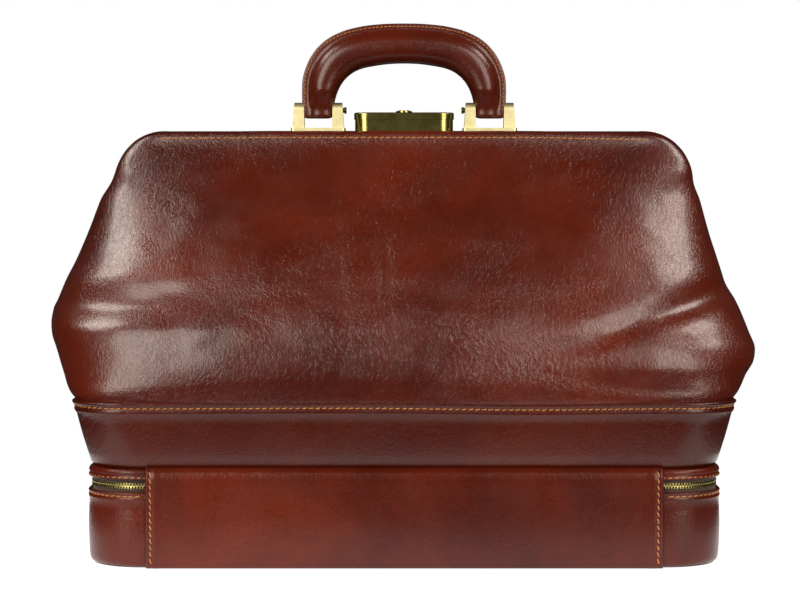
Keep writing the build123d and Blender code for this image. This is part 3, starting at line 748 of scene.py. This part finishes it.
def make_neck_lining(front, outer, normals):
    """Cloth just behind the hide near the mouth. It stops a little below the rim and sits a little further
    in, so it stays inside the hide.
    """
    height = outer[:, outer.shape[1] // 2, 2]
    rows = (height > 0.190) & (height < 0.2505)
    near = keep_side(outer[rows] - normals[rows] * 0.0018, front, 0.0004)
    far = keep_side(outer[rows] - normals[rows] * 0.0024, front, 0.0006)
    obj = sheet("neck_lining_front" if front else "neck_lining_rear", near, far)
    finish_with(obj, lining_finish())
    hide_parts("lining_top")
    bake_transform(obj)


def make_lining():
    """Cloth inside the upper bag, in two halves, with a wall and a floor inside the belt."""
    cloth = lining_finish()
    for front in (True, False):
        outer, inner = (
            hide_grid(front, inset=inset, plain=True, cols=160, low=0.1, high=0.199)
            for inset in (0.0060, 0.0068)
        )
        obj = sheet("lining_front" if front else "lining_rear", outer, inner)
        finish_with(obj, cloth)
        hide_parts("lining", "lining_top")
        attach(obj, "upper")
    low, high, inset, thick = 0.0612, 0.103, 0.0042, 0.0008
    rows = [(low, 0.1893, 0.1048, 0.0284, thick)]
    for t in np.linspace(0, 1, 14):
        half_x, half_y = BELT_X + 0.0110 * t - inset, BELT_Y + 0.0065 * t - inset
        rows.append((low + (high - low) * t, half_x, half_y, 0.029, thick))
    wall = band("lining_belt", rows, 0, 1, 300)
    finish_with(wall, cloth)
    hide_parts("lining_base")
    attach(wall, "upper")
    floor = slab("lining_floor", 0.1885, 0.1040, 0.028, low, low + 0.0009, 0.0003)
    finish_with(floor, cloth)
    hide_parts("lining_base")
    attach(floor, "upper")


def slab(name, half_x, half_y, corner, z0, z1, edge, count=240):
    """A rounded flat plate with softened edges, closed by rings that run in to the middle."""
    rings = []
    for size, z in ((0.35, z0), (0.97, z0), (1.0, z0 + edge), (1.0, z1 - edge), (0.97, z1), (0.35, z1)):
        inset = (1 - size) * half_y
        p, _ = outline(half_x - inset, half_y - inset, max(corner - inset, 0.004), 0, 1, count + 1)
        rings.append(np.hstack([p[:-1], np.full((count, 1), z)]))
    points = np.concatenate(rings)
    faces = [face[::-1] for face in rings_of_faces(len(rings), count)]
    return new_object(name, points, faces, points[:, :2])


# ---------------------------------------------------------------- belt, tray, panel
def belt_size(z):
    """Half length, half depth and corner of the belt at one height."""
    t = (z - BELT_FOOT) / (BELT_TOP - BELT_FOOT)
    return BELT_X + BELT_GROW_X * t, BELT_Y + BELT_GROW_Y * t, BELT_CORNER + BELT_GROW_CORNER * t


def belt_rows():
    """Profile of the belt: rolled foot, slight belly, sewn fold along the top."""
    stations = (
        (BELT_FOOT, -0.0040), (0.0603, -0.0022), (0.0613, -0.0008), (0.0635, 0.0000), (0.070, 0.0003),
        (0.080, 0.0005), (0.088, 0.0004), (0.0938, 0.0002), (0.0952, 0.0008), (0.0965, 0.0010),
        (0.0976, 0.0006), (0.0984, 0.0000), (0.0992, -0.0001), (0.1000, 0.0006), (0.1010, 0.0010),
        (0.1018, 0.0007), (BELT_TOP, -0.0003), (0.1021, -0.0010),
    )
    rows = []
    for z, out in stations:
        half_x, half_y, corner = belt_size(z)
        rows.append((z, half_x + out, half_y + out, corner, WALL_THICK))
    return rows


def seam_wave(grid, amount=0.0011):
    """Lets a sewn edge wander a little up and down."""
    for row in grid:
        for p in row:
            weight = float(ease((p[2] - 0.085) / 0.012))
            wave = 0.7 * noise.noise((p[0] * 9, p[1] * 9, 4.2)) - 0.9 * math.exp(-((p[0] - 0.10) / 0.06) ** 2)
            p[2] += weight * amount * wave
    return grid


def edge_line(half_x, half_y, corner, z, start, stop, count=1600, wave=None):
    """A line round the bag for a row of stitches or teeth, with its normals."""
    p, n = outline(half_x, half_y, corner, start, stop, count)
    points = np.hstack([p, np.full((count, 1), z)])
    if wave:
        points = wave(points[None])[0]
    return points, np.hstack([n, np.zeros((count, 1))])


def make_belt():
    """The stout belt that ties the hide to the deck."""
    leather, _, _ = settings()
    obj = band("belt", belt_rows(), WALL_START, WALL_START + 1, 620, wave=seam_wave)
    finish_with(obj, leather_finish("belt_leather", tuple(c * 0.72 for c in leather.warm), 0.7, 0.6))
    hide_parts("belt_front", "belt_rear")
    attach(obj, "upper")
    seam = 0.0988
    half_x, half_y, _ = belt_size(seam)
    points, normals = edge_line(half_x, half_y, 0.034, seam, WALL_START, WALL_START + 1, wave=seam_wave)
    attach(stitches("belt_stitches", points, normals), "upper")


def tray_rows():
    """Profile of the tray wall: turned under at the foot, folded and sewn along the top."""
    low, high = 0.0008, 0.0466
    stations = (
        (low, -0.0034), (low + 0.0004, -0.0020), (low + 0.0014, -0.0010), (low + 0.0034, -0.0003),
        (0.0075, 0.0000), (0.0150, 0.0003), (0.0250, 0.0005), (0.0350, 0.0003), (0.0405, 0.0000),
        (0.0418, 0.0004), (0.0430, 0.0005), (0.0438, 0.0001), (0.0444, -0.0002), (0.0450, 0.0002),
        (0.0458, 0.0006), (high - 0.0003, 0.0003), (high, -0.0006),
    )
    return [(z, TRAY_X + out, TRAY_Y + out, TRAY_CORNER, WALL_THICK) for z, out in stations]


def make_tray():
    """The wall, sole and lining of the lower compartment."""
    obj = band("tray_wall", tray_rows(), WALL_START, WALL_START + 1, 520)
    finish_with(obj, tray_finish())
    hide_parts("tray_wall_front", "tray_wall_rear")
    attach(obj, "tray")
    beside_panel = 0.1372
    points, normals = edge_line(0.1959, 0.1119, TRAY_CORNER, 0.0443, beside_panel, 1 - beside_panel)
    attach(stitches("tray_stitches", points, normals), "tray")
    sole = slab("tray_sole_leather", 0.1934, 0.1094, 0.032, 0.0, 0.0020, 0.0007)
    finish_with(sole, leather_finish("sole_leather", (0.016, 0.008, 0.006), 0.3))
    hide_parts("tray_sole")
    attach(sole, "tray")
    cloth = lining_finish()
    low, high = 0.0052, 0.0460
    rows = [(low + (high - low) * t, 0.1912, 0.1072, 0.0292, 0.0008) for t in np.linspace(0, 1, 10)]
    cup = band("tray_lining_wall", rows, 0, 1, 260)
    finish_with(cup, cloth)
    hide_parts("tray_lining")
    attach(cup, "tray")
    floor = slab("tray_lining_floor", 0.1904, 0.1064, 0.0284, low, low + 0.0008, 0.0003)
    finish_with(floor, cloth)
    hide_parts("tray_lining")
    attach(floor, "tray")


def make_hinge_panel():
    """The leather panel that joins tray and upper bag along the front."""
    stations = (
        (0.0002, 0.1118), (0.0006, 0.1136), (0.0022, 0.1144), (0.0060, 0.1146), (0.0150, 0.1148),
        (0.0250, 0.1149), (0.0350, 0.1149), (0.0440, 0.1150), (0.0500, 0.1153), (0.0545, 0.1157),
        (0.0575, 0.1156), (0.0597, 0.1147), (0.0612, 0.1128), (0.0620, 0.1104),
    )
    margin, seam = 0.012, 0.0032
    columns = np.concatenate([
        np.linspace(-PANEL_HALF, -PANEL_HALF + margin, 14)[:-1],
        np.linspace(-PANEL_HALF + margin, PANEL_HALF - margin, 200),
        np.linspace(PANEL_HALF - margin, PANEL_HALF, 14)[1:],
    ])
    outer = np.zeros((len(stations), len(columns), 3))
    for i, (z, y) in enumerate(stations):
        for j, x in enumerate(columns):
            edge = PANEL_HALF - abs(x)
            fold = 0.0004 * math.exp(-((edge - 0.0060) / 0.0020) ** 2)
            groove = -0.0004 * math.exp(-((edge - seam) / 0.0007) ** 2)
            roll = -0.0010 * (1 - min(edge / 0.0012, 1)) ** 2
            ripple = 0.0006 * noise.noise((x * 14, z * 40, 8.3)) * float(ease(z / 0.02))
            outer[i, j] = (x, -(y + fold + groove + roll + ripple), z)
    obj = sheet("hinge_panel_leather", outer, outer + np.array([0, 0.0016, 0]))
    finish_with(obj, tray_finish())
    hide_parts("hinge_panel")
    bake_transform(obj)
    heights, depths = np.array(stations).T
    count = 60
    z = np.linspace(0.003, 0.0600, count)
    facing = np.tile((0.0, -1.0, 0.0), (count, 1))
    for side, label in ((-1, "left"), (1, "right")):
        x = np.full(count, side * (PANEL_HALF - seam))
        points = np.stack([x, -np.interp(z, heights, depths), z], axis=1)
        row = stitches(f"panel_stitches_{label}", points, facing, slant=0.3)
        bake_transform(row)


# ---------------------------------------------------------------- zip
def zip_part():
    """Where the zip starts beside the panel, as a fraction of the way round."""
    total = 4 * ((TRAY_X - TRAY_CORNER) + (TRAY_Y - TRAY_CORNER) + TRAY_CORNER * math.pi / 2)
    return (PANEL_HALF - 0.002) / total


def tooth_shape(up):
    """One metal tooth: a waisted block with a nib that fills the gap of the other row."""
    w, d, h = 0.00045, 0.0012, 0.0021
    levels = ((1, 1, 0), (1, 1, 0.55), (1.3, 0.86, 0.8), (0.7, 0.6, 1))
    points = [
        (x * w * wide, y * d * deep, h * level * up)
        for wide, deep, level in levels
        for x, y in ((-1, -1), (1, -1), (1, 1), (-1, 1))
    ]
    faces = rings_of_faces(len(levels), 4)
    if up < 0:
        faces = [face[::-1] for face in faces]
    return points, faces


def make_zip():
    """Tapes, teeth and the sewn strip above them."""
    _, trim, _ = settings()
    edge = zip_part()
    tape = cloth_finish("zip_tape", (0.060, 0.026, 0.015), (0.022, 0.010, 0.007), 1400)
    brass = metal_finish("zip_brass", (0.50, 0.44, 0.16), 0.34, 0.5)
    inset = 0.0024
    half_x, half_y, corner = TRAY_X - inset, TRAY_Y - inset, TRAY_CORNER - inset
    for label, body, low, high, up, foot in (
        ("lower", "tray", 0.0420, 0.0494, 1, 0.0488),
        ("upper", "upper", 0.0519, 0.0590, -1, 0.0524),
    ):
        rows = [(low + (high - low) * t, half_x, half_y, corner, 0.0008) for t in (0, 0.25, 0.5, 0.75, 1)]
        piece = band(f"zip_tape_{label}_cloth", rows, edge, 1 - edge, 500, False)
        finish_with(piece, tape)
        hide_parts(f"zip_tape_{label}")
        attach(piece, body)
        points, normals = edge_line(half_x - 0.0004, half_y - 0.0004, corner, foot, edge, 1 - edge, 3000)
        places, tangents, at = resample(points, trim.tooth)
        if up < 0:
            places = places + tangents * trim.tooth / 2
        axes = [np.stack([t, n, (0, 0, 1)]) for t, n in zip(tangents, carry(points, normals, at))]
        shape, faces = tooth_shape(up)
        teeth = many(f"zip_teeth_{label}_row", shape, faces, places, axes)
        teeth.data.polygons.foreach_set("use_smooth", np.zeros(len(teeth.data.polygons), bool))
        finish_with(teeth, brass)
        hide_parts(f"zip_teeth_{label}")
        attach(teeth, body)
    stations = (
        (0.0544, 0.0000), (0.0546, 0.0010), (0.0553, 0.0013), (0.0560, 0.0010), (0.0568, 0.0005),
        (0.0580, 0.0010), (0.0592, 0.0010), (0.0602, 0.0004), (0.0608, -0.0010), (0.0610, -0.0030),
    )
    rows = [(z, 0.195 + out, 0.111 + out, 0.033, 0.0014) for z, out in stations]
    strip = band("zip_strip_leather", rows, edge, 1 - edge, 460, False)
    finish_with(strip, tray_finish())
    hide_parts("zip_strip")
    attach(strip, "upper")
    points, normals = edge_line(0.1958, 0.1118, 0.033, 0.0556, edge, 1 - edge)
    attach(stitches("zip_stitches", points, normals), "upper")


# ---------------------------------------------------------------- handle
# Outer and inner edge of the right half of the grip, in millimetres, from its foot to its top.
HANDLE_SHAPE = (
    ((65.6, 277.3), (45.4, 277.3)), ((65.7, 283.0), (45.3, 283.0)), ((65.8, 290.0), (44.6, 288.5)),
    ((65.8, 297.0), (43.0, 294.0)), ((65.4, 302.5), (41.4, 297.6)), ((64.2, 307.5), (39.8, 300.2)),
    ((61.5, 314.3), (38.0, 302.5)), ((57.0, 321.4), (35.6, 304.8)), ((50.5, 327.6), (32.0, 307.3)),
    ((41.5, 332.5), (27.0, 309.4)), ((29.0, 336.1), (19.5, 311.0)), ((14.5, 337.9), (10.0, 312.3)),
    ((0.0, 338.3), (0.0, 312.7)),
)


def handle_line(count):
    """Middle of the grip in the XZ plane from left to right, its outward side and its half height."""
    pairs = np.array(HANDLE_SHAPE) * MM
    both = np.concatenate([pairs * np.array([-1, 1]), pairs[-2::-1]])
    outer, inner = both[:, 0], both[:, 1]
    middle = (outer + inner) / 2
    step = np.concatenate([[0], np.cumsum(np.linalg.norm(np.diff(middle, axis=0), axis=1))])
    s = np.linspace(0, step[-1], count)
    out, ins = (
        np.stack([cubic(step, line[:, i], np.gradient(line[:, i], step), s) for i in (0, 1)], axis=1)
        for line in (outer, inner)
    )
    centre, reach = (out + ins) / 2, np.linalg.norm(out - ins, axis=1)
    side = (out - ins) / reach[:, None]
    points = np.stack([centre[:, 0], np.full(count, HANDLE_Y), centre[:, 1]], axis=1)
    sides = np.stack([side[:, 0], np.zeros(count), side[:, 1]], axis=1)
    return points, sides, reach / 2, s


def grip_point(angle, half, deep):
    """One point of the grip's section, as (outward, forward): an oval with the welt on its outer side."""
    c, q = math.cos(angle), math.sin(angle)
    body = half - WELT / 2
    u = math.copysign(abs(c) ** GRIP_POWER, c) * body - WELT / 2
    v = math.copysign(abs(q) ** GRIP_POWER, q) * deep
    from_top = angle if angle < math.pi else 2 * math.pi - angle
    edge = min(max((WELT_ANGLE - from_top) / WELT_ANGLE, 0), 1)
    if edge > 0:
        ramp, flat = min(edge / 0.12, 1), min(edge / WELT_CREST, 1)
        root = (body - WELT / 2) * math.cos(WELT_ANGLE) ** GRIP_POWER
        u = root + (half - root) * flat
        rim = 1.0 if edge <= WELT_CREST else 1 - ((edge - WELT_CREST) / (1 - WELT_CREST)) ** 1.6
        shoulder = deep * math.sin(WELT_ANGLE) ** GRIP_POWER
        v = math.copysign(shoulder * (1 - ramp) + (0.0036 - 0.0004 * flat) * ramp, q) * rim
    return u, v


def make_handle():
    """The stuffed grip with the sewn edge along its outside."""
    count, around = 320, 96
    points, sides, half, s = handle_line(count)
    end = np.minimum(s, s[-1] - s)
    grow = ease((end - 0.004) / 0.016)
    grid = np.zeros((count, around, 3))
    for i in range(count):
        close = math.sqrt(max(1 - (1 - min(end[i] / 0.0026, 1)) ** 2, 0.0))
        scale = 0.70 + 0.30 * close
        for k in range(around):
            u, v = grip_point(2 * math.pi * k / around, half[i], 0.0064 + 0.0050 * grow[i])
            grid[i, k] = points[i] + sides[i] * u * scale + np.array((0, v * scale, 0))
    faces = [face[::-1] for face in rings_of_faces(count, around)]
    length = np.tile(s[:, None], (1, around))
    girth = np.tile(np.arange(around) * 0.0008, (count, 1))
    uv = np.stack([length, girth], axis=2).reshape(-1, 2)
    obj = new_object("handle_grip", grid.reshape(-1, 3), faces, uv)
    finish_with(obj, leather_finish("handle_leather", None, 0.5, 0.7))
    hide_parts("handle_cover")
    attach(obj, "handle")
    keep = end > 0.004
    for face, label in ((-1, "front"), (1, "rear")):
        line = points + sides * (half - 0.0019)[:, None] + np.array((0, face * 0.00345, 0))
        facing = np.tile((0.0, float(face), 0.0), (int(keep.sum()), 1))
        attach(stitches(f"handle_stitches_{label}", line[keep], facing, size=0.65), "handle")


# ---------------------------------------------------------------- metal and hidden parts
def paint(nodes, material):
    """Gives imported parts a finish."""
    for node in nodes:
        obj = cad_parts[node]
        if not obj.material_slots:
            obj.data.materials.append(material)
        for slot in obj.material_slots:
            slot.link = "OBJECT"
            slot.material = material


def make_metal():
    """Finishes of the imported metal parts."""
    _, trim, _ = settings()
    pale = metal_finish("pale_brass", tuple(trim.brass), 0.44, 0.82)
    # The lock's brass is painted darker as painted dark reflection; the strike, rivets and zip sliders and
    # pulls get it too.
    shaded_brass = metal_finish("brass_painted_dark", tuple(trim.shaded_brass), 0.24, 0.62)
    steel = metal_finish("frame_steel", (0.42, 0.40, 0.37), 0.38, 0.6)
    paint(["bracket_left", "bracket_right", "bracket_rivets"], pale)
    paint(["handle_pin_left", "handle_pin_right"], metal_finish("dark_brass", (0.20, 0.17, 0.07), 0.35, 0.5))
    paint(["lock_case", "lock_cover", "lock_collar", "key_cylinder", "latch_bolt", "thumb_slide"], shaded_brass)
    paint(["strike", "strike_rivets", "hinge_rivets"], shaded_brass)
    paint(["zip_slider_left", "zip_slider_right", "zip_pull_left", "zip_pull_right"], shaded_brass)
    paint(["front_jaw_steel", "rear_jaw_steel", "hinge_tabs"], steel)
    paint(["lock_rivets", "click_spring", "handle_tangs"], steel)


def make_hidden():
    """Finishes of the boards, washers and other parts inside."""
    paint(["tray_floor_board", "tray_wall_board", "belt_board", "deck_board", "handle_core"], board_finish())
    paint(["hinge_washers", "deck_leather"], leather_finish("inner_leather", (0.10, 0.045, 0.025), 0.4))


# ---------------------------------------------------------------- stage
def area_light(name, location, target, size, power):
    """A warm rectangular light that faces a point."""
    data = bpy.data.lights.new(name, "AREA")
    data.shape = "RECTANGLE"
    data.size, data.size_y = size
    data.energy = power
    data.color = (1.0, 0.91, 0.81)
    light = bpy.data.objects.new(name, data)
    light.location = location
    aim = Vector(target) - Vector(location)
    light.rotation_euler = aim.to_track_quat("-Z", "Y").to_euler()
    bpy.context.scene.collection.objects.link(light)


def add_camera():
    """The camera, level with the belt and looking a little down."""
    _, _, stage = settings()
    data = bpy.data.cameras.new("camera")
    data.lens = stage.lens
    data.sensor_width = 36
    camera = bpy.data.objects.new("camera", data)
    camera.location = (-0.0026, -stage.distance, stage.eye)
    camera.rotation_euler = (math.pi / 2 - stage.tilt, 0, 0)
    bpy.context.scene.collection.objects.link(camera)
    bpy.context.scene.camera = camera


def add_floor():
    """A pale board that glows a little, so that it is as light as the sky."""
    left, right, near, far = -0.32, 0.32, -0.245, 0.32
    corners = [(left, near, 0), (right, near, 0), (right, far, 0), (left, far, 0)]
    floor = new_object("floor", corners, [[0, 1, 2, 3]], smooth_shading=False)
    material, nodes, _ = new_material("pale_floor")
    shader = nodes["Principled BSDF"]
    shader.inputs["Base Color"].default_value = (0.4, 0.4, 0.4, 1)
    shader.inputs["Roughness"].default_value = 0.9
    shader.inputs["Specular IOR Level"].default_value = 0.1
    shader.inputs["Emission Color"].default_value = (1, 1, 1, 1)
    shader.inputs["Emission Strength"].default_value = 0.93
    floor.data.materials.append(material)


def add_sky():
    """A white background that casts very little light on the bag."""
    world = bpy.data.worlds.new("studio")
    world.use_nodes = True
    bpy.context.scene.world = world
    nodes, links = world.node_tree.nodes, world.node_tree.links
    nodes.clear()
    backgrounds = []
    for strength in (0.02, 1.0):
        background = nodes.new("ShaderNodeBackground")
        background.inputs["Color"].default_value = (1, 1, 1, 1)
        background.inputs["Strength"].default_value = strength
        backgrounds.append(background)
    path = nodes.new("ShaderNodeLightPath")
    mix = nodes.new("ShaderNodeMixShader")
    output = nodes.new("ShaderNodeOutputWorld")
    links.new(path.outputs["Is Camera Ray"], mix.inputs[0])
    links.new(backgrounds[0].outputs[0], mix.inputs[1])
    links.new(backgrounds[1].outputs[0], mix.inputs[2])
    links.new(mix.outputs[0], output.inputs[0])


def make_stage():
    """Camera, lights, floor and sky."""
    add_camera()
    for side, label, power in ((-1, "left", 27), (1, "right", 24)):
        target = (side * 0.1, 0, 0.15)
        area_light(f"{label}_softbox", (side * 0.90, -1.32, 0.72), target, (0.80, 1.5), power)
        area_light(f"{label}_high_light", (side * 1.0, -0.15, 1.25), target, (0.5, 0.5), power * 0.35)
    add_floor()
    add_sky()
    bpy.context.scene.view_settings.view_transform = "Standard"


# ---------------------------------------------------------------- operators and panel
class BAG_OT_stage(bpy.types.Operator):
    """Add the camera, lights, floor and sky."""

    bl_idname = "bag.stage"
    bl_label = "Stage"

    def execute(self, context):
        make_stage()
        return {"FINISHED"}


class BAG_OT_hide(bpy.types.Operator):
    """Add the two halves of the hide with their rim stitching."""

    bl_idname = "bag.hide"
    bl_label = "Hide"

    def execute(self, context):
        make_hide(True)
        make_hide(False)
        return {"FINISHED"}


class BAG_OT_lining(bpy.types.Operator):
    """Add the cloth lining of the upper bag."""

    bl_idname = "bag.lining"
    bl_label = "Lining"

    def execute(self, context):
        make_lining()
        return {"FINISHED"}


class BAG_OT_belt(bpy.types.Operator):
    """Add the belt and its stitching."""

    bl_idname = "bag.belt"
    bl_label = "Belt"

    def execute(self, context):
        make_belt()
        return {"FINISHED"}


class BAG_OT_tray(bpy.types.Operator):
    """Add the wall, sole and lining of the lower compartment."""

    bl_idname = "bag.tray"
    bl_label = "Tray"

    def execute(self, context):
        make_tray()
        return {"FINISHED"}


class BAG_OT_hinge_panel(bpy.types.Operator):
    """Add the leather panel that the bag tips on."""

    bl_idname = "bag.hinge_panel"
    bl_label = "Hinge panel"

    def execute(self, context):
        make_hinge_panel()
        return {"FINISHED"}


class BAG_OT_zip(bpy.types.Operator):
    """Add the zip's tapes, teeth and sewn strip."""

    bl_idname = "bag.zip"
    bl_label = "Zip"

    def execute(self, context):
        make_zip()
        return {"FINISHED"}


class BAG_OT_handle(bpy.types.Operator):
    """Add the stuffed leather handle."""

    bl_idname = "bag.handle"
    bl_label = "Handle"

    def execute(self, context):
        make_handle()
        return {"FINISHED"}


class BAG_OT_fittings(bpy.types.Operator):
    """Finish the brass and steel fittings and the parts inside."""

    bl_idname = "bag.fittings"
    bl_label = "Fittings"

    def execute(self, context):
        make_metal()
        make_hidden()
        return {"FINISHED"}


OPERATORS = (
    BAG_OT_stage, BAG_OT_hide, BAG_OT_lining, BAG_OT_belt, BAG_OT_tray,
    BAG_OT_hinge_panel, BAG_OT_zip, BAG_OT_handle, BAG_OT_fittings,
)


class BAG_PT_panel(bpy.types.Panel):
    """Sizes, colours and the steps that build the bag."""

    bl_idname = "BAG_PT_panel"
    bl_label = "Doctor Bag"
    bl_space_type = "VIEW_3D"
    bl_region_type = "UI"
    bl_category = "Doctor Bag"

    def draw(self, context):
        for group in (context.scene.bag_leather, context.scene.bag_trim, context.scene.bag_stage):
            box = self.layout.box()
            for name in group.bl_rna.properties.keys():
                if name not in ("rna_type", "name"):
                    box.prop(group, name)
        for operator in OPERATORS:
            self.layout.operator(operator.bl_idname)


CLASSES = (BagLeather, BagTrim, BagStage, *OPERATORS, BAG_PT_panel)


def register():
    for cls in CLASSES:
        bpy.utils.register_class(cls)
    bpy.types.Scene.bag_leather = PointerProperty(type=BagLeather)
    bpy.types.Scene.bag_trim = PointerProperty(type=BagTrim)
    bpy.types.Scene.bag_stage = PointerProperty(type=BagStage)


def unregister():
    del bpy.types.Scene.bag_stage
    del bpy.types.Scene.bag_trim
    del bpy.types.Scene.bag_leather
    for cls in reversed(CLASSES):
        bpy.utils.unregister_class(cls)


def main():
    register()
    bpy.ops.bag.stage()
    bpy.ops.bag.hide()
    bpy.ops.bag.lining()
    bpy.ops.bag.belt()
    bpy.ops.bag.tray()
    bpy.ops.bag.hinge_panel()
    bpy.ops.bag.zip()
    bpy.ops.bag.handle()
    bpy.ops.bag.fittings()


if __name__ == "__main__":
    main()
